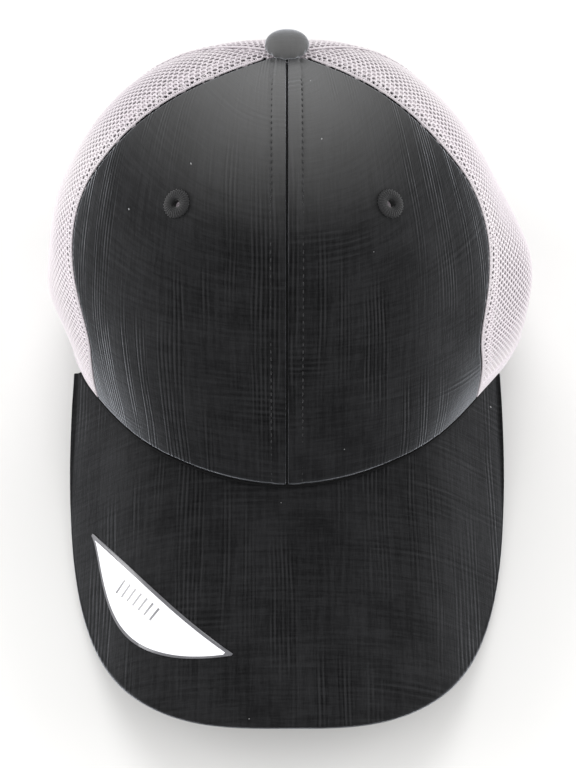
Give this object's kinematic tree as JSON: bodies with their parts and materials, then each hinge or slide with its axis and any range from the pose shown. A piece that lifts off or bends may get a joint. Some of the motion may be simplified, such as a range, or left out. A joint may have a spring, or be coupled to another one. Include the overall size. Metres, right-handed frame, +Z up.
{
  "type": "trucker cap",
  "caption": "Cloth fronted cap with net sides and back, a curved visor, a button on top and an arched opening over a rear strap.",
  "frame": {"origin": "under the middle of the whole cap, on the surface that it rests on", "axes": "+Z up, visor towards -Y, opening and strap towards +Y, +X to the right as seen from the front"},
  "size_m": [0.1856, 0.2592, 0.1313],
  "materials": {
    "charcoal_cloth": "matt woven cloth with a faint raised check",
    "charcoal_thread": "slightly shiny stitching",
    "pale_net": "matt knitted net",
    "pale_tape": "matt woven tape",
    "strap_plastic": "satin moulded plastic",
    "label_film": "smooth film"
  },
  "bodies": {
    "root": {"front_panel_right": "charcoal_cloth", "front_panel_left": "charcoal_cloth", "mesh_side_right": "pale_net", "mesh_side_left": "pale_net", "mesh_back_right": "pale_net", "mesh_back_left": "pale_net", "visor": "charcoal_cloth", "top_button": "charcoal_cloth", "eyelet_right": "charcoal_thread", "eyelet_left": "charcoal_thread", "sweatband": "pale_tape", "arch_binding": "pale_tape", "back_strap": "strap_plastic", "visor_label": "label_film"}
  },
  "joints": []
}
